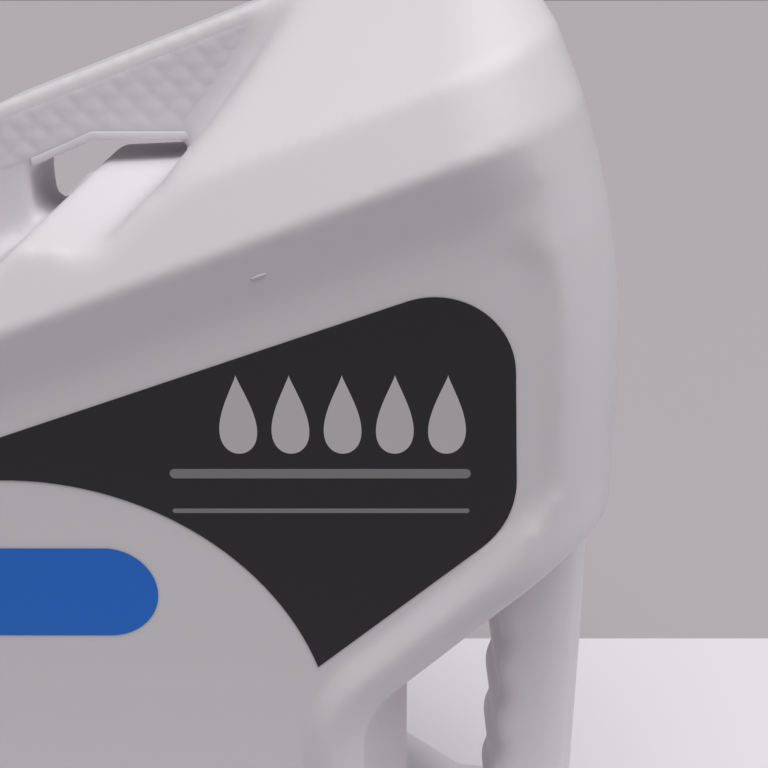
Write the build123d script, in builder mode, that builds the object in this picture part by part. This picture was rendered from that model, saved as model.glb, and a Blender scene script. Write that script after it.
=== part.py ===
from build123d import *
import os
from math import cos, radians, sin, sqrt, tan

# A five-quart motor oil jug, blow-moulded in one piece with two handles, and its screw cap.
# Millimetres. +X is the grip end, -Y is the front with the label, +Z is up.

# Body
jug_width = 208.0
jug_depth = 118.0
wall = 1.6
plan_corner = 32.0
base_edge = 6.0
end_lean_start = 200.0
end_lean_radius = 210.0

# Shoulder and roof: slices parallel to the sloping shoulder, by their height on the centre line
shoulder_angle = 20.4
shoulder_rise = 238.8
deck_rise = 255.0
deck_inset = 8.0
deck_corner = 28.0
deck_edge = 6.0
ridge_rise = 283.0
ridge_half_depth = 12.0
ridge_setback = 2.0
ridge_corner = 11.0
ridge_edge = 7.0
lean_slices = 4

# Top handle: a fin under the ridge, over a lowered floor
fin_gap = 25.0
fin_end_slope = 4.0
handle_share = 0.445
handle_post = 17.0
slit_share = 0.54
floor_start = 254.0
floor_bend_z = 253.0
floor_low_rise = 250.8
floor_fall = 0.258
floor_turn = 0.341
flank_slope = 1.435
flank_front_slope = 0.927
finger_height = 4.5
finger_bend = 2.0
finger_end_height = 15.0

# Side grip: a bar across a tapering pocket
grip_thickness = 25.0
grip_space = 25.0
grip_half_depth = 20.0
grip_edge = 6.0
grip_outer_edge = 14.0
groove_depth = 2.0
groove_pitch = 18.5
groove_start = 17.8
groove_count = 9
pocket_top = 118.0
pocket_bottom = 46.0
pocket_floor_rise = 26.0
pocket_top_angle = 43.0
pocket_bottom_angle = 37.0
pocket_corner = 10.0
pocket_flare = 14.0

# Hollow: the roof's space stays clear of the hump's flank
deck_hollow_gap = 13.0
ridge_hollow_gap = 31.0
ridge_hollow_corner = 4.0
hollow_top_drop = 1.3

# Label panel, sunk in the front and the back
panel_depth = 4.5
panel_top_run = 13.0
panel_edge_run = 4.5
panel_left_margin = 14.0
panel_right_margin = 8.0
panel_base_margin = 14.0
panel_top_gap = 3.0
panel_bead = 24.0
panel_corner = 16.0
cut_past = 0.6

# Label film on the front panel: a dark field over a round clear space
label_thickness = 0.25
label_top_margin = 8.6
label_top_slope = 0.345
label_right_margin = 5.0
label_right_lean = 0.05
label_left_margin = 11.5
label_tip_setback = 22.6
label_tip_margin = 2.9
label_diagonal = 0.864
label_top_corner = 18.0
label_low_corner = 22.0
label_wing_height = 7.1
clear_arch = 26.7

# Neck and its support bead
neck_setback = 24.0
neck_top = 254.0
neck_radius = 18.0
neck_bore = 15.5
neck_root = 30.0
bead_radius = 21.0
bead_height = 2.0
bead_drop = 21.0

# Cap, its liner and the ring that breaks off it
cap_radius = 22.0
cap_bore = 19.4
cap_skirt = 17.0
cap_plate = 2.0
cap_edge = 1.5
rib_count = 48
rib_width = 1.2
rib_height = 0.7
liner_radius = 18.8
liner_thickness = 1.2
seat_gap = 0.2
band_gap = 0.6
band_clearance = 0.3

slope = tan(radians(shoulder_angle))
half_width = jug_width / 2
half_depth = jug_depth / 2
deck_half_depth = half_depth - deck_inset
grip_inner = half_width - grip_thickness
pocket_wall = grip_inner - grip_space
neck_x = neck_setback - half_width


def slice_plane(rise):
    """Plane parallel to the shoulder, at a height on the centre line."""
    turn = radians(shoulder_angle)
    return Plane(origin=(0, 0, rise), x_dir=(cos(turn), 0, sin(turn)), z_dir=(-sin(turn), 0, cos(turn)))


def slice_reach(rise, inset):
    """Where a sloping slice meets the grip end: upright below, an arc that leans in above."""
    centre = half_width - end_lean_radius
    lift = rise - end_lean_start
    if lift + slope * (half_width - inset) <= 0:
        return half_width - inset
    square = 1 + slope**2
    half_sum = centre - slope * lift
    rest = centre**2 + lift**2 - (end_lean_radius - inset) ** 2
    return (half_sum + sqrt(half_sum**2 - square * rest)) / square


def slice_outline(rise, left, right, depth, corner):
    """Rounded rectangle in a sloping slice, from its left and right ends as seen from the front."""
    with BuildSketch(slice_plane(rise)) as outline:
        with Locations(((left + right) / 2 / cos(radians(shoulder_angle)), 0)):
            RectangleRounded((right - left) / cos(radians(shoulder_angle)), 2 * depth, corner)
    return outline.sketch


def slice_edges(part, rise):
    """Edges of a part that lie in a sloping slice."""
    plane = slice_plane(rise)
    return part.edges().filter_by(
        lambda edge: all(abs(plane.to_local_coords(end.center()).Z) < 0.01 for end in edge.vertices())
    )


def pocket_line(start_height, angle, shift):
    """Height along a slanting wall of the grip's pocket, moved square to itself by a shift."""
    lift = shift / cos(radians(angle))
    return lambda x: start_height + lift + (x - pocket_wall) * tan(radians(angle))


def pocket_foot(grow, beyond):
    """Lower side of the grip's pocket: a slanting wall down to a level floor."""
    beside = pocket_wall - grow
    lower = pocket_line(pocket_bottom, -pocket_bottom_angle, -grow)
    level = pocket_floor_rise - grow
    bend = beside + (lower(beside) - level) / tan(radians(pocket_bottom_angle))
    return [(beside, lower(beside)), (bend, level), (beyond, level)]


def panel_outline(offset_out, share):
    """Label panel's edge on an upright plane: at a share of 0 on the face, at 1 round the flat floor."""
    edge_run = share * panel_edge_run
    top_run = share * panel_top_run
    left = panel_left_margin - half_width + edge_run
    right = half_width - panel_right_margin - top_run
    base = panel_base_margin + edge_run
    top = shoulder_rise - panel_top_gap - top_run / cos(radians(shoulder_angle))
    beside = pocket_wall - panel_bead - edge_run
    upper = pocket_line(pocket_top, pocket_top_angle, panel_bead + edge_run)
    with BuildSketch(Plane.XZ.offset(offset_out)) as outline:
        with BuildLine():
            Polyline(
                (left, base), (left, top + slope * left), (right, top + slope * right),
                (right, upper(right)), (beside, upper(beside)), (beside, base), close=True,
            )
        make_face()
        fillet(outline.vertices(), panel_corner)
    return outline.sketch


def pocket_outline(offset_out, grow, beyond):
    """Edge of the side grip's pocket, as far as a line beyond its wall."""
    beside = pocket_wall - grow
    upper = pocket_line(pocket_top, pocket_top_angle, grow)
    with BuildSketch(Plane.XZ.offset(offset_out)) as outline:
        with BuildLine():
            Polyline(
                *pocket_foot(grow, beyond), (beyond, upper(beyond)), (beside, upper(beside)), close=True,
            )
        make_face()
        fillet(outline.vertices().group_by(Axis.X)[0], pocket_corner + grow)
    return outline.sketch


def floor_height(x):
    """Height of the lowered floor near the neck."""
    return floor_low_rise + slope * x


def upright_outline(offset_out, points):
    """Straight-sided outline on an upright plane."""
    with BuildSketch(Plane.XZ.offset(offset_out)) as outline:
        with BuildLine():
            Polyline(*points, close=True)
        make_face()
    return outline.sketch


def front_and_back(cutter):
    """A cutter on the front, and its mirror image on the back."""
    return [cutter, mirror(cutter, about=Plane.XZ)]


def jug_walls(inset):
    """Upright walls below the slice where the grip end starts to lean, and the leaning end above."""
    left = inset - half_width
    depth = half_depth - inset
    corner = plan_corner - inset
    low = end_lean_start - slope * half_width
    rises = [low + (shoulder_rise - low) * step / (lean_slices - 1) for step in range(lean_slices)]
    with BuildPart() as walls:
        upright = slice_outline(low, left, half_width - inset, depth, corner)
        extrude(upright, amount=low + half_width, dir=(0, 0, -1))
        split(bisect_by=Plane.XY.offset(inset), keep=Keep.TOP)
        loft([slice_outline(rise, left, slice_reach(rise, inset), depth, corner) for rise in rises])
    return walls.part


# Places along the top handle, from the neck to the ridge's end over the grip
ridge_end = slice_reach(ridge_rise, 0) - ridge_setback
fin_left = neck_x + fin_gap
flank_foot = fin_left + handle_share * (ridge_end - fin_left)
floor_low_x = fin_left + handle_post
floor_bend_x = flank_foot - slit_share * (flank_foot - floor_low_x)
finger_bend_x = floor_bend_x - finger_bend
ridge_hollow_left = flank_foot + ridge_hollow_gap

# Lines that shape the outside, as seen from the front
past_grip = half_width + plan_corner
past_neck = -half_width - plan_corner
above_roof = ridge_rise + half_width
ceiling = floor_start + finger_height
floor_line = [
    (flank_foot, floor_start),
    (floor_bend_x, floor_bend_z),
    (floor_low_x, floor_height(floor_low_x)),
    (past_neck, floor_height(past_neck)),
]
fin_foot = floor_height(fin_left)

# Sunk label panels, deepest under the shoulder
with BuildPart() as panel_cutter:
    panel_floor = panel_outline(half_depth - panel_depth, 1)
    loft([panel_floor, panel_outline(half_depth + cut_past, -cut_past / panel_depth)], ruled=True)

# Pocket beside the grip, flaring towards the face
with BuildPart() as pocket_cutter:
    pocket_floor = pocket_outline(grip_half_depth, 0, past_grip)
    loft([pocket_floor, pocket_outline(half_depth + cut_past, pocket_flare, past_grip)], ruled=True)

# Space beside the top handle: its floor falls and turns away to the front, and the hump's flank flattens
with BuildPart() as lowered_cutter:
    run = half_depth + cut_past - ridge_half_depth
    front_line = [(x - floor_turn * run, z - floor_fall * run) for x, z in floor_line]
    outlines = []
    for out, line, lean in (
        (ridge_half_depth, floor_line, flank_slope), (half_depth + cut_past, front_line, flank_front_slope),
    ):
        foot_x, foot_z = line[0]
        flank_top = (foot_x + (above_roof - foot_z) / lean, above_roof)
        outlines.append(upright_outline(out, [*line, (line[-1][0], above_roof), flank_top]))
    loft(outlines, ruled=True)

side_cutters = []
for cutter in (panel_cutter, pocket_cutter, lowered_cutter):
    side_cutters += front_and_back(cutter.part)

# Bar of the side grip, with finger grooves along its inner face
grip_points = [
    (grip_inner + step % 2 * groove_depth, groove_start + step * groove_pitch / 2)
    for step in range(2 * groove_count + 1)
]
with BuildPart() as grip:
    with BuildSketch(Plane.XZ.offset(-grip_half_depth)) as grip_side:
        with BuildLine():
            Spline(*grip_points)
            Polyline(
                grip_points[-1], (half_width, grip_points[-1][1]), (half_width, groove_start), grip_points[0])
        make_face()
    extrude(grip_side.sketch, amount=2 * grip_half_depth)
    long_edges = grip.edges().filter_by(lambda edge: edge.bounding_box().size.Z > groove_pitch)
    fillet(long_edges.group_by(Axis.X)[-1], grip_outer_edge)
    long_edges = grip.edges().filter_by(lambda edge: edge.bounding_box().size.Z > groove_pitch)
    fillet(long_edges.group_by(Axis.X)[0], grip_edge)

# Outside of the blown shell
outer_walls = jug_walls(0)
with BuildPart() as shell:
    add(outer_walls)
    shoulder = slice_outline(
        shoulder_rise, -half_width, slice_reach(shoulder_rise, 0), half_depth, plan_corner)
    deck = slice_outline(
        deck_rise, half_depth - half_width - deck_half_depth, slice_reach(deck_rise, 0), deck_half_depth,
        deck_corner)
    ridge = slice_outline(
        ridge_rise, half_depth - half_width - ridge_half_depth, ridge_end, ridge_half_depth, ridge_corner)
    loft([shoulder, deck], ruled=True)
    loft([deck, ridge], ruled=True)
    fillet(slice_edges(shell, ridge_rise), ridge_edge)
    fillet(slice_edges(shell, deck_rise), deck_edge)
    for cutter in side_cutters:
        add(cutter, mode=Mode.SUBTRACT)
    # Past the top handle's end, and the finger opening under it: a slit that grows into a wedge
    extrude(upright_outline(-ridge_half_depth, [
        (past_neck, floor_height(past_neck)), (fin_left, fin_foot),
        (fin_left + (above_roof - fin_foot) / fin_end_slope, above_roof), (past_neck, above_roof),
    ]), amount=2 * ridge_half_depth, mode=Mode.SUBTRACT)
    extrude(upright_outline(-half_depth, [
        *floor_line[:3], (floor_low_x, floor_line[2][1] + finger_end_height),
        (finger_bend_x, ceiling), (flank_foot, ceiling),
    ]), amount=jug_depth, mode=Mode.SUBTRACT)
    # Rounded foot, and the grip across the open pocket
    fillet(shell.edges().group_by(Axis.Z)[0], base_edge)
    extrude(pocket_outline(-half_depth, 0, past_grip), amount=jug_depth, mode=Mode.SUBTRACT)
    add(grip.part)

# Hollow inside: behind the panels, under the roof, a channel through each handle, and the mouth
neck_start = floor_height(neck_x) - neck_root
hollow_half = half_depth - panel_depth - wall
hollow_right = half_width - wall
hollow_top = shoulder_rise - hollow_top_drop
beside = pocket_wall - pocket_flare - wall
upper = pocket_line(pocket_top, pocket_top_angle, pocket_flare + wall)
lower_side = pocket_foot(pocket_flare + wall, half_width)
grip_channel_half = grip_half_depth - 2 * wall
fin_channel_half = ridge_half_depth - 2 * wall
fin_channel_top = ridge_rise - 2 * wall
fin_channel_left = fin_left + 2 * wall
inner_walls = jug_walls(wall)
with BuildPart() as hollow:
    add(inner_walls)
    extrude(upright_outline(-hollow_half, [
        (-half_width, 0), (-half_width, hollow_top - slope * half_width),
        (half_width, hollow_top + slope * half_width), (half_width, upper(half_width)),
        (beside, upper(beside)), *lower_side, (half_width, 0),
    ]), amount=2 * hollow_half, mode=Mode.INTERSECT)
    chamfer(hollow.edges().group_by(Axis.Z)[0], base_edge - 2 * wall)
    under_shoulder = slice_outline(
        hollow_top, flank_foot, slice_reach(shoulder_rise, wall), half_depth - 2 * wall,
        plan_corner - 2 * wall)
    under_deck = slice_outline(
        deck_rise - wall, flank_foot + deck_hollow_gap, slice_reach(deck_rise, wall) - wall, deck_half_depth - wall,
        deck_corner - wall)
    under_ridge = slice_outline(
        ridge_rise - 2 * wall, ridge_hollow_left, ridge_end - wall, ridge_half_depth - wall,
        ridge_hollow_corner)
    loft([under_shoulder, under_deck], ruled=True)
    loft([under_deck, under_ridge], ruled=True)
    extrude(upright_outline(-fin_channel_half, [
        (ridge_hollow_left + wall, ceiling + wall), (finger_bend_x, ceiling + wall),
        (floor_low_x - wall, floor_line[2][1] + finger_end_height + wall),
        (floor_low_x - wall, floor_line[2][1] - neck_root), (fin_channel_left, fin_foot - neck_root),
        (fin_channel_left, fin_foot),
        (fin_channel_left + finger_end_height / fin_end_slope, fin_foot + finger_end_height),
        (floor_low_x, fin_channel_top + slope * floor_low_x),
        (ridge_hollow_left + wall, fin_channel_top + slope * ridge_hollow_left),
    ]), amount=2 * fin_channel_half)
    extrude(upright_outline(-grip_channel_half, [
        (grip_inner + groove_depth + 2 * wall, base_edge + wall), (hollow_right - wall, base_edge + wall),
        (hollow_right - wall, upper(hollow_right)), (grip_inner + groove_depth + 2 * wall, upper(hollow_right)),
    ]), amount=2 * grip_channel_half)
    with Locations((neck_x, 0, neck_start)):
        Cylinder(neck_bore, neck_top - neck_start, align=(Align.CENTER, Align.CENTER, Align.MIN))

# Bottle: the blown shell with its neck
with BuildPart() as bottle:
    add(shell.part)
    with Locations((neck_x, 0, neck_start)):
        Cylinder(neck_radius, neck_top - neck_start, align=(Align.CENTER, Align.CENTER, Align.MIN))
    with Locations((neck_x, 0, neck_top - bead_drop)):
        Cylinder(bead_radius, bead_height, align=(Align.CENTER, Align.CENTER, Align.MAX))
    add(hollow.part, mode=Mode.SUBTRACT)
bottle.part.label = "bottle"

# Front label: a thin film on the sunk panel
panel_face = half_depth - panel_depth
with BuildPart() as front_label:
    with BuildSketch(Plane.XZ.offset(panel_face)) as film:
        label_right = half_width - panel_right_margin - panel_top_run - label_right_margin
        label_left = panel_left_margin + panel_edge_run + label_left_margin - half_width
        label_top_rise = (
            shoulder_rise - panel_top_gap - panel_top_run / cos(radians(shoulder_angle)) - label_top_margin)
        label_tip_x = pocket_wall - label_tip_setback
        panel_corner_line = pocket_line(pocket_top, pocket_top_angle, panel_bead + panel_edge_run)
        label_tip_z = panel_corner_line(label_tip_x) + label_tip_margin
        tip = (label_tip_x, label_tip_z)
        low_right = (label_right, label_tip_z + (label_right - label_tip_x) * label_diagonal)
        top_right_z = label_top_rise + label_top_slope * label_right
        top_right = (label_right - label_right_lean * (top_right_z - low_right[1]), top_right_z)
        left_top = (label_left, label_top_rise + label_top_slope * label_left)
        left_low = (label_left, left_top[1] - label_wing_height)
        with BuildLine():
            Polyline(tip, low_right, top_right, left_top, left_low)
            SagittaArc(left_low, tip, clear_arch)
        make_face()
        fillet(film.vertices().group_by(Axis.X)[-1], label_low_corner)
        fillet(film.vertices().sort_by(Axis.Y)[-1], label_top_corner)
    extrude(amount=label_thickness)
front_label.part.label = "front_label"

# Cap, with gripping ribs round its skirt
liner_base = neck_top + seat_gap
plate_base = liner_base + liner_thickness + seat_gap
skirt_base = neck_top - cap_skirt
cap_height = plate_base + cap_plate - skirt_base
with BuildPart() as cap:
    with Locations((neck_x, 0, skirt_base)):
        Cylinder(cap_radius, cap_height, align=(Align.CENTER, Align.CENTER, Align.MIN))
        with PolarLocations(cap_radius, rib_count):
            Box(
                2 * rib_height, rib_width, cap_height - 2 * cap_edge,
                align=(Align.CENTER, Align.CENTER, Align.MIN),
            )
        Cylinder(
            cap_bore, plate_base - skirt_base, align=(Align.CENTER, Align.CENTER, Align.MIN),
            mode=Mode.SUBTRACT,
        )
    fillet(cap.edges().group_by(Axis.Z)[-1], cap_edge)
cap.part.label = "cap"

# Liner: the sealing disc between the cap and the neck
with BuildPart() as cap_liner:
    with Locations((neck_x, 0, liner_base)):
        Cylinder(liner_radius, liner_thickness, align=(Align.CENTER, Align.CENTER, Align.MIN))
cap_liner.part.label = "cap_liner"

# Tamper band: the ring that stays on the neck, on its bead
band_base = neck_top - bead_drop
band_height = skirt_base - band_gap - band_base
with BuildPart() as tamper_band:
    with Locations((neck_x, 0, band_base)):
        Cylinder(cap_radius, band_height, align=(Align.CENTER, Align.CENTER, Align.MIN))
        Cylinder(
            neck_radius + band_clearance, band_height, align=(Align.CENTER, Align.CENTER, Align.MIN),
            mode=Mode.SUBTRACT,
        )
tamper_band.part.label = "tamper_band"

os.makedirs("parts", exist_ok=True)
for piece in (bottle, front_label, cap, cap_liner, tamper_band):
    export_step(piece.part, f"parts/{piece.part.label}.step")
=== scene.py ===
# %% [markdown]
# # A five-quart motor oil jug
#
# The imported CAD model is the fixed frame of this scene: every node is already in its place, in metres.
# What Blender adds is the soft look of a blow-moulded wall, the pressed diamonds on the handle, the screw
# thread, the print on the label film and the finishes.

import bpy
import numpy as np
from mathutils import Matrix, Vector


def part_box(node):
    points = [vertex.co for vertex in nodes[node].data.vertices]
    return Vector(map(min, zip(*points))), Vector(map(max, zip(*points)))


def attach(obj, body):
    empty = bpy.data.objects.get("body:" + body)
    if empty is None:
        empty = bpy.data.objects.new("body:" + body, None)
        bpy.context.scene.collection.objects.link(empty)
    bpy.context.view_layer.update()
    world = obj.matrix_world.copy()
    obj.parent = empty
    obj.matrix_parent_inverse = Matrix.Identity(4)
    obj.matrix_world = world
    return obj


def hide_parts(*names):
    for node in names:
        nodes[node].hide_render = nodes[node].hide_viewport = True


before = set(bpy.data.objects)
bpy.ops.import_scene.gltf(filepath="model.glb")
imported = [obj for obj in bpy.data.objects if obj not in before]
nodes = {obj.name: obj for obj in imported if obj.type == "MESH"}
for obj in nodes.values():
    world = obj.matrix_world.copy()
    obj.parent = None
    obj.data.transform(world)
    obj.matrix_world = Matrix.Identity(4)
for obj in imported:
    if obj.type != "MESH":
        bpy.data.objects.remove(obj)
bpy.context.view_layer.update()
MM = 0.001

# %% [markdown]
# ## Places that the pieces share
#
# The cap stands on the neck's axis, the label film lies on the sunk panel, and the jug's own box gives
# its depth. The pieces below take their places from these readings. Only what the boxes can't tell, such
# as the slope of the shoulder or the neck's bore, is written as a size.

# %% Read the places from the frame
cap_low, cap_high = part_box("cap")
film_low, film_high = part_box("front_label")
band_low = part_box("tamper_band")[0]
liner_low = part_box("cap_liner")[0]
shoulder_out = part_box("bottle")[1].y
panel_out = -film_high.y
neck_x = (cap_low.x + cap_high.x) / 2
seat_gap = 0.2 * MM
neck_top = liner_low.z - seat_gap
neck_radius, neck_bore = 18 * MM, 15.5 * MM
bead_radius, bead_height = 21 * MM, 2 * MM
slope_angle = np.radians(20.4)
slope = np.tan(slope_angle)
print("neck axis, neck top and panel:", [round(size / MM, 2) for size in (neck_x, neck_top, panel_out)])

# %% [markdown]
# ## Helpers for finishes
#
# A colour is written as it would be picked on a screen, in sRGB hex, and turned to the linear values that
# the shader wants. One small function adds a node, sets its sockets and links what feeds it.

# %% Colour and node helpers


def linear(hex_colour):
    """Linear colour of an sRGB hex value: each channel follows the sRGB curve, with its straight foot."""
    channels = np.array([int(hex_colour[i:i + 2], 16) for i in (1, 3, 5)]) / 255
    curve = np.where(channels <= 0.04045, channels / 12.92, ((channels + 0.055) / 1.055) ** 2.4)
    return (*curve.tolist(), 1.0)


def add_node(tree, kind, links, inputs):
    """A node with its input values by name, and links from other nodes' sockets by input name."""
    node = tree.nodes.new(kind)
    for name, value in inputs.items():
        node.inputs[name].default_value = value
    for name, socket in links.items():
        tree.links.new(socket, node.inputs[name])
    return node


def new_material(name, colour, roughness, ior):
    """A material of one colour, and its shader node."""
    material = bpy.data.materials.new(name)
    material.use_nodes = True
    shader = material.node_tree.nodes["Principled BSDF"]
    shader.inputs["Base Color"].default_value = linear(colour)
    shader.inputs["Roughness"].default_value = roughness
    shader.inputs["IOR"].default_value = ior
    return material, shader


print("white in linear light:", linear("#ffffff"))

# %% [markdown]
# ## Moulded HDPE
#
# The jug is white high-density polyethylene, blown against a mould that was blasted with fine grit. That
# leaves a soft sheen with no sharp highlight, and a little light passes into the wall. A plain white
# would look like paint, so some of the light is scattered under the surface, a few millimetres deep. The
# grit is finer than a pixel here, so its noise is drawn at about one millimetre and kept shallow.

# %% White HDPE
hdpe, hdpe_shader = new_material("moulded white HDPE", "#e6e2e6", 0.42, 1.54)
hdpe_shader.inputs["Subsurface Weight"].default_value = 0.12
hdpe_shader.inputs["Subsurface Radius"].default_value = (1.0, 0.9, 0.85)
hdpe_shader.inputs["Subsurface Scale"].default_value = 4 * MM
grit_size, grit_depth = 1.2 * MM, 0.2 * MM
tree = hdpe.node_tree
place = add_node(tree, "ShaderNodeTexCoord", {}, {})
grit = add_node(
    tree, "ShaderNodeTexNoise", {"Vector": place.outputs["Object"]}, {"Scale": 1 / grit_size, "Detail": 2.0})
grain = add_node(
    tree, "ShaderNodeBump", {"Height": grit.outputs[0]}, {"Strength": 0.05, "Distance": grit_depth})
tree.links.new(grain.outputs["Normal"], hdpe_shader.inputs["Normal"])
print("material:", hdpe.name)

# %% [markdown]
# ## The other finishes
#
# The film is a polypropylene label printed dark all over. The cap and its band are dark polypropylene
# from a satin mould. The liner is pale foam. None of them has a pattern that shows at this distance, so
# each is one colour with its own gloss.

# %% Film, inks, cap and liner
# Ink under a thin varnish: an even near-black that stays a little glossy
film_ink, _ = new_material("dark ink on polypropylene film", "#2a282a", 0.34, 1.5)
# Inks printed over it: flat colours with the same gloss
grey_ink, _ = new_material("light grey ink", "#cfcbcd", 0.36, 1.5)
dim_ink, _ = new_material("mid grey ink", "#8a8889", 0.36, 1.5)
blue_ink, _ = new_material("blue ink", "#1f74dc", 0.36, 1.5)
# Satin moulding: black with broad, dull highlights on the ribs
cap_plastic, _ = new_material("satin black polypropylene", "#303032", 0.45, 1.49)
# Closed-cell foam: off-white and without any gloss
liner_foam, _ = new_material("polyethylene foam", "#dcdad4", 0.8, 1.5)
for material, name in (
    (film_ink, "front_label"), (cap_plastic, "cap"), (cap_plastic, "tamper_band"), (liner_foam, "cap_liner"),
    (hdpe, "bottle"),
):
    nodes[name].data.materials.clear()
    nodes[name].data.materials.append(material)
print("materials:", [material.name for material in bpy.data.materials])

# %% [markdown]
# ## Helpers for meshes
#
# Every new piece is a grid of points worked out as whole numpy arrays. A grid can be closed along either
# of its directions, so the same function makes a sheet, a tube or a ring. A round patch is a grid too,
# whose first ring is drawn together to one point.

# %% Mesh helpers


def put_mesh(name, points, faces, material, slot):
    """A smooth mesh object from point and face arrays, riding on the bottle's body."""
    mesh = bpy.data.meshes.new(name)
    mesh.from_pydata(points.reshape(-1, 3).tolist(), [], faces.tolist())
    mesh.materials.append(material)
    mesh.polygons.foreach_set("use_smooth", np.ones(len(mesh.polygons), bool))
    mesh.update()
    piece = bpy.data.objects.new(name, mesh)
    bpy.context.scene.collection.objects.link(piece)
    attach(piece, "bottle")
    print(name, "has", len(mesh.vertices), "points and", len(mesh.polygons), "faces")
    return piece


def grid_faces(rows, columns, close_rows=False, close_columns=False):
    """Four-sided faces of a grid of points, wrapped round where it closes on itself."""
    row = np.arange(rows if close_rows else rows - 1)[:, None]
    column = np.arange(columns if close_columns else columns - 1)[None, :]
    next_row, next_column = (row + 1) % rows, (column + 1) % columns
    corners = [row * columns + column, row * columns + next_column,
               next_row * columns + next_column, next_row * columns + column]
    return np.stack([np.broadcast_to(c, (row.size, column.size)) for c in corners], axis=-1).reshape(-1, 4)


def patch_mesh(rings):
    """Points and triangles of a patch of rings: the first ring is one middle point with a fan round it."""
    count, columns = rings.shape[:2]
    points = np.concatenate([rings[0, :1], rings[1:].reshape(-1, 3)])
    column = np.arange(columns)
    fan = np.stack([np.zeros(columns, int), 1 + (column + 1) % columns, 1 + column], axis=-1)
    quads = 1 + grid_faces(count - 1, columns, close_columns=True)
    return points, np.concatenate([fan, quads[:, :3], quads[:, [0, 2, 3]]])


def ring_grid(rings, columns):
    """Shares of the way from a middle to an outline, and angles that run clockwise from the right."""
    return np.linspace(0, 1, rings)[:, None], -np.linspace(0, 2 * np.pi, columns + 1)[None, :-1]


print("a ring of 8 by 4 points has", len(grid_faces(8, 4, close_rows=True)), "faces")

# %% [markdown]
# ## The blown wall
#
# A blow-moulded wall has no sharp edge anywhere, because the hot plastic bridges every corner of the
# mould. The CAD solid has the right faces, but sharp lines where they meet. A bevel would need clean edge
# loops, which a mesh of loose triangles doesn't have. So the outside of the solid is copied, filled with
# voxels and relaxed: the flats stay where they are and the lines turn into soft bends. The copy leaves
# out the hollow and the neck, and a lid closes it where the neck stood.

# %% Helpers for the solid's outside


def merged_triangles(node):
    """A node's points with doubles merged, and its triangles."""
    mesh = node.data
    mesh.calc_loop_triangles()
    points = np.empty(len(mesh.vertices) * 3)
    mesh.vertices.foreach_get("co", points)
    points = points.reshape(-1, 3)
    triangles = np.empty(len(mesh.loop_triangles) * 3, np.int32)
    mesh.loop_triangles.foreach_get("vertices", triangles)
    keys = np.round(points / (0.01 * MM)).astype(int)
    _, first, index = np.unique(keys, axis=0, return_index=True, return_inverse=True)
    triangles = index.reshape(-1)[triangles.reshape(-1, 3)]
    flat = (triangles == np.roll(triangles, 1, axis=1)).any(axis=1)
    return points[first], triangles[~flat]


def connected_labels(count, triangles):
    """One label for each group of joined points: the least label spreads over triangles until it rests."""
    labels = np.arange(count)
    while True:
        spread = labels.copy()
        np.minimum.at(spread, triangles.ravel(), np.repeat(labels[triangles].min(axis=1), 3))
        spread = spread[spread]
        if (spread == labels).all():
            return labels
        labels = spread


points, triangles = merged_triangles(nodes["bottle"])
print("solid:", len(points), "points and", len(triangles), "triangles")

# %% Outside of the solid, without its hollow and neck
touching = 0.02 * MM
from_axis = np.hypot(points[:, 0] - neck_x, points[:, 1])
on_neck = (from_axis < bead_radius + 5 * touching)[triangles].all(axis=1)
triangles = triangles[~on_neck]
labels = connected_labels(len(points), triangles)
outside = triangles[labels[triangles[:, 0]] == labels[points[:, 2].argmax()]]
at_root = np.abs(from_axis - neck_radius) < touching
rim = np.unique(outside[at_root[outside].sum(axis=1) >= 2])
rim = rim[at_root[rim]]
rim = rim[np.argsort(np.arctan2(points[rim, 1], points[rim, 0] - neck_x))]
lid = np.stack([np.full(len(rim), len(points)), rim, np.roll(rim, -1)], axis=1)
points = np.vstack([points, points[rim].mean(axis=0)])
print("outside:", len(outside), "triangles, closed over the neck's root by", len(lid))

# %% [markdown]
# ## Voxels
#
# The solid's triangles are long and uneven, so they can't bend. The Remesh modifier fills the shape with
# small cubes and lays an even net of faces round them. At 1.6 mm the net is fine enough for every form of
# the jug and still quick to relax.

# %% Fill the outside with voxels
voxel = 1.6 * MM
rough = bpy.data.meshes.new("rough")
rough.from_pydata(points.tolist(), [], np.vstack([outside, lid]).tolist())
rough_piece = bpy.data.objects.new("rough", rough)
bpy.context.scene.collection.objects.link(rough_piece)
filling = rough_piece.modifiers.new("voxels", "REMESH")
filling.mode = "VOXEL"
filling.voxel_size = voxel
bpy.context.view_layer.update()
skin = bpy.data.meshes.new_from_object(rough_piece.evaluated_get(bpy.context.evaluated_depsgraph_get()))
bpy.data.objects.remove(rough_piece)
skin.calc_loop_triangles()
skin_points = np.empty(len(skin.vertices) * 3)
skin.vertices.foreach_get("co", skin_points)
skin_points = skin_points.reshape(-1, 3)
skin_edges = np.empty(len(skin.edges) * 2, np.int32)
skin.edges.foreach_get("vertices", skin_edges)
skin_edges = skin_edges.reshape(-1, 2)
skin_triangles = np.empty(len(skin.loop_triangles) * 3, np.int32)
skin.loop_triangles.foreach_get("vertices", skin_triangles)
skin_triangles = skin_triangles.reshape(-1, 3)
print("net:", len(skin_points), "points and", len(skin_edges), "edges")

# %% [markdown]
# ## Relaxing
#
# Relaxing moves each point towards the mean of its neighbours. A smoothing modifier would do that evenly
# everywhere. Here each point has its own share, so that some places can be softer than others. Three
# rounds over the whole net take out the steps of the cubes.

# %% Relax the whole net
even_share, even_rounds = 0.5, 3


def soft_step(value, start, end):
    """Rises smoothly from 0 at the start to 1 at the end."""
    share = np.clip((value - start) / (end - start), 0, 1)
    return share * share * (3 - 2 * share)


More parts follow.
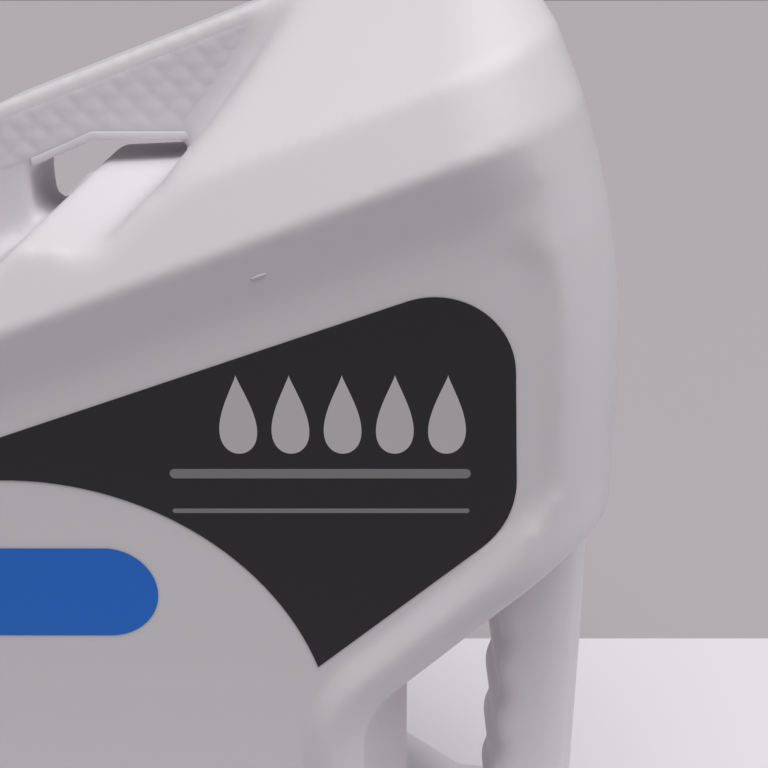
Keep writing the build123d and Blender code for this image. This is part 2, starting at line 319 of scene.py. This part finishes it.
def relax(points, edges, share, rounds):
    """Moves each point towards the mean of its neighbours by its own share, round after round."""
    ends = np.concatenate([edges[:, 0], edges[:, 1]])
    others = np.concatenate([edges[:, 1], edges[:, 0]])
    count = np.bincount(ends, minlength=len(points))[:, None]
    for _ in range(rounds):
        mean = np.stack([np.bincount(ends, points[others, axis], len(points)) for axis in range(3)], axis=1)
        points = points + share[:, None] * (mean / count - points)
    return points


skin_points = relax(skin_points, skin_edges, np.full(len(skin_points), even_share), even_rounds)
print("top after relaxing:", round(skin_points[:, 2].max() / MM, 1))

# %% [markdown]
# ## The shoulder's lower edge
#
# The sloping shoulder ends in the jug's one crisp line, and the wall under it leans in to the label
# panel. Relaxing has rounded that line with the rest, so the points near it are put back onto the two
# faces that meet there. At the grip end the line turns a corner. A point's reach is measured from the
# corner's centre there, so that the edge runs on round the end and the hollow under it fades out.

# %% Reach of each point
shoulder_rise, panel_top = 238.8 * MM, 221.9 * MM
corner_x, corner_out, end_lean = 61 * MM, 27 * MM, 0.29
side = np.sign(skin_points[:, 1])
across, out, height = skin_points[:, 0].copy(), np.abs(skin_points[:, 1]), skin_points[:, 2]
rise = height - slope * across
centre_x = corner_x - end_lean * (rise - shoulder_rise)
past_corner = np.clip(across - centre_x, 0, None) / np.cos(slope_angle)
from_centre = np.hypot(past_corner, out - corner_out)
reach = corner_out + from_centre
turned_by = np.arctan2(past_corner, out - corner_out)
print("points round the corner:", np.count_nonzero(past_corner))

# %% Points near the edge, put onto its two faces
shoulder_lean = 8 / 16.2
edge_start, edge_full = -72 * MM, -48 * MM
edge_height, edge_depth, corner_fade = 5 * MM, 2 * MM, 10 * MM
sunk = np.minimum(corner_out + (panel_out - corner_out) / np.cos(np.minimum(turned_by, 1)), shoulder_out)
under = sunk + (shoulder_out - sunk) * (rise - panel_top) / (shoulder_rise - panel_top)
over = shoulder_out - shoulder_lean * (rise - shoulder_rise)
below_edge = (rise > panel_top) & (rise <= shoulder_rise)
above_edge = (rise > shoulder_rise) & (rise < shoulder_rise + edge_height) & (out > over - edge_depth)
crisp = np.where(below_edge, np.minimum(reach, under), reach)
crisp = crisp + above_edge * (1 - soft_step(past_corner, 0, corner_fade)) * (over - crisp)
near_edge = soft_step(across, edge_start, edge_full) * (reach > panel_out - voxel) * (out > corner_out)
scale = 1 + near_edge * (crisp - reach) / np.maximum(from_centre, MM)
skin_points[:, 0] = np.where(past_corner > 0, centre_x + (across - centre_x) * scale, across)
skin_points[:, 1] = side * np.where(near_edge > 0, corner_out + (out - corner_out) * scale, out)
print("points put onto the edge's faces:", np.count_nonzero(scale != 1))

# %% [markdown]
# ## The softest places
#
# Three places are softer than the rest: the roll of plastic round the grip's pocket, the valley between
# the label panel and the wall that leans in over it, and the hump's flank beside the top handle. A
# distance from the pocket, the valley or the flank tells which points belong there, and their share of
# relaxing fades out with it.

# %% Distances from the pocket and the flank
pocket_wall, pocket_top, pocket_corner = 54 * MM, 118 * MM, 10 * MM
pocket_angle = np.radians(43)
fin_half_depth = 12 * MM
flank_foot, flank_base = 1 * MM, 254 * MM
flank_slope, flank_turn = 1.435, 10.7
floor_turn, floor_fall = 0.341, 0.258


def pocket_distance(x, z):
    """Distance from the pocket's upright wall or slanting roof, and from the round corner between them."""
    roof = (z - pocket_top) * np.cos(pocket_angle) - (x - pocket_wall) * np.sin(pocket_angle)
    along = x - pocket_wall - pocket_corner
    up = z - pocket_top + pocket_corner * (1 / np.cos(pocket_angle) - np.tan(pocket_angle))
    at_corner = (up > 0) & (along * np.cos(pocket_angle) + up * np.sin(pocket_angle) < 0)
    return np.where(at_corner, np.hypot(along, up) - pocket_corner, np.maximum(pocket_wall - x, roof))


def flank_distance(x, z, run):
    """Distance from the hump's flank, whose slope and foot change with the run outwards from the handle."""
    lean = flank_slope - flank_turn * run
    flank_x = flank_foot - floor_turn * run + (z - flank_base + floor_fall * run) / lean
    return (x - flank_x) * lean / np.hypot(1, lean)


across = skin_points[:, 0]
run = np.clip(out - fin_half_depth, 0, None)
from_pocket = pocket_distance(across, height)
from_flank = flank_distance(across, height, run)
print("points within 10 mm of the flank:", np.count_nonzero(np.abs(from_flank) < 10 * MM))

# %% Relax the roll, the valley and the flank
soft_rounds = 14
roll_middle, roll_width = 14 * MM, 12 * MM
valley_width, flank_width = 8 * MM, 6 * MM
grip_half_depth, flank_fade = 20 * MM, 8 * MM


def near(distance, width):
    """1 up to half the width from a line, fading to 0 at the whole width."""
    return 1 - soft_step(np.abs(distance), width / 2, width)


on_side = soft_step(out, grip_half_depth, 2 * grip_half_depth)
on_flank = soft_step(height + floor_fall * run, flank_base - flank_fade, flank_base)
on_flank = on_flank * (out > fin_half_depth - MM)
near_fold = np.maximum(near(from_pocket - roll_middle, roll_width), near(rise - panel_top, valley_width))
share = even_share * np.maximum(on_side * near_fold, on_flank * near(from_flank, flank_width))
skin_points = relax(skin_points, skin_edges, share, soft_rounds)
print("points relaxed further:", np.count_nonzero(share))

# %% [markdown]
# ## Panel and roll
#
# The label needs a flat panel, right up to the strip beside the roll, so points that were drawn out there
# go back under the film. The roll then gets its own profile: it rises from the flat strip to a low crest,
# and turns down to the pocket as part of a circle. A profile gives a cleaner band of light along the
# crest than relaxing alone, and it is drawn inside the solid's wall.

# %% Flat panel under the film
panel_foot, film_room, film_bed = 28.4 * MM, 4 * MM, 0.05 * MM
out = np.abs(skin_points[:, 1])
near_film = (across > film_low.x) & (across < film_high.x) & (height > film_low.z - film_room)
flat = near_film & (from_pocket > panel_foot) & (rise < panel_top - valley_width) & (out > panel_out - MM)
out = np.where(flat, np.minimum(out, panel_out - film_bed), out)
print("points on the flat panel:", np.count_nonzero(flat))

# %% Roll round the pocket
roll_foot, roll_crest = 27.5 * MM, 21 * MM
roll_height, roll_radius = 3 * MM, 13 * MM
roll_low_end, roll_low_full = 70 * MM, 100 * MM
roll_high_full, roll_high_end = film_high.x - 14 * MM, film_high.x + 8 * MM
past_crest = np.clip((roll_crest - from_pocket) / roll_radius, 0, 1)
roll_rise = roll_height * (1 - soft_step(from_pocket, roll_crest, roll_foot))
roll_fall = roll_radius * (1 - np.sqrt(1 - past_crest**2))
on_roll = (from_pocket < panel_foot + 10 * MM) & (past_crest < 1) & (out > 0.8 * panel_out)
on_roll = on_roll * soft_step(height, roll_low_end, roll_low_full)
on_roll = on_roll * (1 - soft_step(across, roll_high_full, roll_high_end))
out = out + on_roll * np.minimum(panel_out + roll_rise - roll_fall - out, 0)
skin_points[:, 1] = np.sign(skin_points[:, 1]) * out
print("points on the roll:", np.count_nonzero(on_roll))

# %% Open the mouth and put the skin in the solid's place
middle = skin_points[skin_triangles].mean(axis=1)
from_axis = np.hypot(middle[:, 0] - neck_x, middle[:, 1])
mouth = (from_axis < (neck_radius + neck_bore) / 2) & (middle[:, 2] > neck_top / 2)
jug_skin = put_mesh("jug_skin", skin_points, skin_triangles[~mouth], hdpe, "hdpe_white")
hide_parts("bottle")

# %% [markdown]
# ## Diamonds on the top handle
#
# Both sides of the top handle carry rows of small pyramids for a sure hold, inside a smooth border. The
# mould has them cut into its steel. A bump in the material would show them too, but not in the mesh. So
# each side is one grid whose lines run along the pyramids' edges, and these stay sharp. At the border the
# grid dips under the wall.

# %% The handle's outline
fin_left, fin_foot, fin_end_slope = -55 * MM, 230.3 * MM, 4.0
ridge_rise = 283 * MM
ceiling, ceiling_bend, ceiling_fall = 258.5 * MM, -22 * MM, 0.425
lip_width, lip_height = 2 * MM, 0.3 * MM
border = 3.5 * MM


def ceiling_height(x):
    """Height of the handle's lower edge: level over the slit, falling over the wedge."""
    return ceiling + ceiling_fall * np.minimum(x - ceiling_bend, 0)


def depth_inside(x, z):
    """How far a point lies inside the handle's smooth border: its least distance to the four edges."""
    from_end = (x - fin_left - (z - fin_foot) / fin_end_slope) / np.hypot(1, 1 / fin_end_slope)
    from_hump = (flank_foot + (z - flank_base) / flank_slope - x) / np.hypot(1, 1 / flank_slope)
    from_top = (ridge_rise + slope * x - z) * np.cos(slope_angle)
    inside = np.minimum(np.minimum(from_end, from_hump), from_top) - border
    return np.minimum(inside, z - ceiling_height(x) - lip_width)


print("handle's lower edge: from", round(ceiling_height(fin_left) / MM, 1), "to", round(ceiling / MM, 1))

# %% Handle diamonds
diamond_pitch, diamond_height, diamond_steps = 7 * MM, 0.28 * MM, 6
fade, dip = 1.2 * MM, 0.6 * MM
first = np.arange(26 * diamond_steps, 46 * diamond_steps)[:, None] / diamond_steps
second = np.arange(-46 * diamond_steps, -33 * diamond_steps)[None, :] / diamond_steps
x = (first + second) / 2 * diamond_pitch
z = (first - second) / 2 * diamond_pitch
inside = depth_inside(x, z)
pyramid = 1 - 2 * np.maximum(np.abs(first - np.round(first)), np.abs(second - np.round(second)))
relief = diamond_height * pyramid * soft_step(inside, 0, fade) - dip * (1 - soft_step(inside, -fade, 0))
shown = (inside > -2 * fade).ravel()
faces = grid_faces(*relief.shape)
faces = faces[shown[faces].all(axis=1)]
used, numbers = np.unique(faces, return_inverse=True)
faces = numbers.reshape(faces.shape)
for turn, name in ((-1, "handle_diamonds_front"), (1, "handle_diamonds_back")):
    points = np.stack([x, turn * (fin_half_depth + relief), z], axis=-1).reshape(-1, 3)
    put_mesh(name, points[used], faces[:, ::-turn], hdpe, "hdpe_white")

# %% [markdown]
# ## Lip of the top handle
#
# A low round lip runs along the handle's lower edge, where the fingers close round it. It is half a
# circle, flattened, carried along that edge, with a row of points at each side that goes into the wall.

# %% Handle lip
lip_x = np.linspace(-37 * MM, 5 * MM, 64)[:, None]
bow = np.linspace(-np.pi / 2, np.pi / 2, 11)[None, :]
lip_up = np.concatenate([[[0]], lip_width / 2 * (1 + np.sin(bow)), [[lip_width]]], axis=1)
lip_out = fin_half_depth + np.concatenate([[[-2 * MM]], lip_height * np.cos(bow), [[-MM]]], axis=1)
for turn, name in ((-1, "handle_lip_front"), (1, "handle_lip_back")):
    points = np.stack(np.broadcast_arrays(lip_x, turn * lip_out, ceiling_height(lip_x) + lip_up), axis=-1)
    put_mesh(name, points, grid_faces(*points.shape[:2])[:, ::turn], hdpe, "hdpe_white")

# %% [markdown]
# ## A tick under the shoulder
#
# A short dash stands on the wall under the shoulder, where the mould has a vent slot. A stretched ball
# would do, but half of it would be lost in the wall. So it is only the half that shows: an ellipse on the
# leaning wall that swells in its middle.

# %% Vent tick
tick_x, tick_rise = 21.2 * MM, 230.6 * MM
tick_length, tick_width = 4 * MM, 1 * MM
tick_height, tick_sink = 0.45 * MM, 0.1 * MM
ring, angle = ring_grid(7, 32)
x = tick_x + tick_length / 2 * ring * np.cos(angle) * np.cos(slope_angle)
z = tick_rise + slope * x + tick_width / 2 * ring * np.sin(angle)
share = (z - slope * x - panel_top) / (shoulder_rise - panel_top)
wall_out = panel_out + (shoulder_out - panel_out) * share
y = tick_sink - wall_out - tick_height * np.sqrt(1 - ring**2)
put_mesh("vent_tick", *patch_mesh(np.stack([x, y, z], axis=-1)), hdpe, "hdpe_white")

# %% [markdown]
# ## The neck
#
# The neck comes out of the mould as a round finish, with a bead that carries the tamper band. The Spin
# tool could turn it. Here a profile is carried once round its axis: up the outside, over the bead and the
# lip, and down the bore into the jug, so that it is one closed skin.

# %% Neck
neck_root = neck_top - 60 * MM
bead_top = band_low.z
bead_low, bead_middle = bead_top - bead_height, bead_top - bead_height / 2
bead_side = bead_radius - 0.4 * MM
profile = np.array([
    (neck_radius, neck_root), (neck_radius, bead_low),
    (bead_side, bead_low), (bead_radius, bead_middle), (bead_side, bead_top), (neck_radius, bead_top),
    (neck_radius, neck_top - 0.8 * MM), (neck_radius - 0.3 * MM, neck_top - 0.2 * MM),
    (neck_radius - 0.9 * MM, neck_top), (neck_bore + 0.9 * MM, neck_top),
    (neck_bore + 0.2 * MM, neck_top - 0.3 * MM), (neck_bore, neck_top - 1 * MM), (neck_bore, neck_root),
])


def round_neck(radius, angle, height):
    """Points at a radius and an angle round the neck's axis, and at a height."""
    return np.stack(np.broadcast_arrays(
        neck_x + radius * np.cos(angle), radius * np.sin(angle), height), axis=-1)


turns = np.linspace(0, 2 * np.pi, 97)[:-1, None]
points = round_neck(profile[None, :, 0], turns, profile[None, :, 1])
faces = grid_faces(*points.shape[:2], close_rows=True, close_columns=True)
put_mesh("neck_finish", points, faces[:, ::-1], hdpe, "hdpe_white")

# %% [markdown]
# ## The screw thread
#
# A single thread winds round the neck and lifts the cap five millimetres each turn. A Screw modifier
# would end it bluntly. Here it is a small round profile on a climbing path, whose height fades into the
# neck at both ends.

# %% Thread
thread_pitch, thread_turns = 5 * MM, 1.7
thread_reach, thread_width, thread_sink = 1.1 * MM, 2.2 * MM, 0.1 * MM
thread_drop, thread_fade = 3 * MM, 0.06
along = np.linspace(0, 1, 140)[:, None]
over = np.linspace(-1, 1, 9)[None, :]
swell = np.clip(np.minimum(along, 1 - along) / thread_fade, 0, 1) * np.sqrt(1 - over**2)
thread_radius = neck_radius - thread_sink + (thread_reach + thread_sink) * swell
path_height = neck_top - thread_drop - thread_turns * (1 - along) * thread_pitch
points = round_neck(thread_radius, 2 * np.pi * thread_turns * along, path_height + over * thread_width / 2)
put_mesh("neck_thread", points, grid_faces(*points.shape[:2])[:, ::-1], hdpe, "hdpe_white")

# %% [markdown]
# ## Print on the label
#
# The film carries a row of plain oil drops in light grey over two rules, and a blue bar with round ends
# stands on the panel beside it. An image could hold them, but an image file doesn't travel with the part.
# So each is a thin patch of rings from a middle point out to an outline, and its edge stays sharp at any
# distance.

# %% Outlines of the print
ink_gap = 0.06 * MM
ring, angle = ring_grid(5, 72)


def drop_outline(width, height):
    """A drop: its width swells from a tip at the top as the sine times a power of the half angle's sine."""
    half = -np.sin(angle) * np.sin(-angle / 2) ** 1.4
    return np.stack([width / 2 * half / half.max(), height / 2 * np.cos(angle)], axis=-1)


def bar_outline(width, height):
    """A bar with round ends: a circle that is pulled apart sideways at its middle."""
    shift = np.sign(np.cos(angle)) * (width - height) / 2
    return np.stack([height / 2 * np.cos(angle) + shift, height / 2 * np.sin(angle)], axis=-1)


def put_print(name, x, z, outline, y, material):
    """A patch on an upright plane: its rings go in equal steps from a middle at (x, z) to the outline."""
    flat = ring[..., None] * outline
    points = np.stack([x + flat[..., 0], np.full(flat.shape[:2], y), z + flat[..., 1]], axis=-1)
    put_mesh(name, *patch_mesh(points), material, "label_film")


print("a drop's outline has", drop_outline(MM, MM).shape[1], "points")

# %% Drops, rules and bar
film_face, panel_face = film_low.y - ink_gap, -panel_out - 3 * ink_gap
drop_count, drop_first, drop_spacing, drop_z = 5, 15 * MM, 11.6 * MM, 206 * MM
drop_width, drop_height = 8.4 * MM, 19 * MM
rule_x, rule_width = 33 * MM, 68 * MM
rules = ((191.5 * MM, 2.4 * MM), (182 * MM, 1.2 * MM))
bar_x, bar_z, bar_width, bar_height = -36 * MM, 160 * MM, 60 * MM, 24 * MM
for number in range(drop_count):
    drop_x = drop_first + drop_spacing * number
    outline = drop_outline(drop_width, drop_height)
    put_print(f"print_drop_{number + 1}", drop_x, drop_z, outline, film_face, grey_ink)
for number, (rule_z, rule_height) in enumerate(rules):
    outline = bar_outline(rule_width, rule_height)
    put_print(f"print_rule_{number + 1}", rule_x, rule_z, outline, film_face, dim_ink)
put_print("print_bar", bar_x, bar_z, bar_outline(bar_width, bar_height), panel_face, blue_ink)

# %% [markdown]
# ## Stage
#
# The jug stands on a pale table. Past the table's edges the floor is plain grey, which looks like a wall
# from the camera and hides nothing in other views. An upright backdrop would stand in the way of those.

# %% Table and floors
table_front, table_back, stage_reach = -120 * MM, 156 * MM, 4.0
pale, _ = new_material("pale table top", "#e8e4e9", 0.8, 1.45)
grey, _ = new_material("grey floor", "#b6b0b4", 0.8, 1.45)
dark, _ = new_material("darker grey floor", "#9a979a", 0.8, 1.45)
for name, sheet, close, far in (
    ("table", pale, table_front, table_back), ("backdrop", grey, table_back, stage_reach),
    ("front_floor", dark, -stage_reach, table_front),
):
    corners = [(x, y, 0) for x, y in (
        (-stage_reach, close), (stage_reach, close), (stage_reach, far), (-stage_reach, far))]
    mesh = bpy.data.meshes.new(name)
    mesh.from_pydata(corners, [], [(0, 1, 2, 3)])
    mesh.materials.append(sheet)
    ground = bpy.data.objects.new(name, mesh)
    bpy.context.scene.collection.objects.link(ground)
print("stage: table from y", table_front, "to", table_back)

# %% [markdown]
# ## Light
#
# A wide soft light from almost overhead, a little to the front and the grip side, and an even room: level
# faces come out pale, upright ones darker, and faces that turn down darkest. An area lamp would do, but
# its light falls off over the table. A sun that is sixty degrees wide is as soft and lights everything
# evenly.

# %% Room and softbox
scene = bpy.context.scene
scene.view_settings.view_transform = "Standard"
world = bpy.data.worlds.new("soft room")
world.use_nodes = True
world.node_tree.nodes["Background"].inputs["Color"].default_value = linear("#f4f2f4")
world.node_tree.nodes["Background"].inputs["Strength"].default_value = 0.2
scene.world = world
lamp = bpy.data.lights.new("overhead softbox", "SUN")
lamp.energy = 2.55
lamp.angle = np.radians(60)
lamp_piece = bpy.data.objects.new("overhead softbox", lamp)
lamp_piece.rotation_euler = (np.radians(16), np.radians(8), 0)
scene.collection.objects.link(lamp_piece)
print("light:", round(lamp.energy, 2), "W/m2 from overhead")

# %% [markdown]
# ## Camera
#
# The photograph was taken close to the label and from above it. The lens comes from the focal length in
# pixels that fits the picture's edges, and the place and tilt from where the shoulder, the film and the
# table lie in it.

# %% Camera
picture_pixels, focal_pixels = 768, 1155
tilt_down = np.radians(22.5)
camera = bpy.data.cameras.new("camera")
camera.sensor_width = 36
camera.lens = focal_pixels / picture_pixels * camera.sensor_width
camera.clip_start = 10 * MM
camera_piece = bpy.data.objects.new("camera", camera)
camera_piece.location = (47.4 * MM, -288 * MM, 310 * MM)
camera_piece.rotation_euler = (np.pi / 2 - tilt_down, 0, 0)
scene.collection.objects.link(camera_piece)
scene.camera = camera_piece
print("lens", round(camera.lens, 2), "mm")
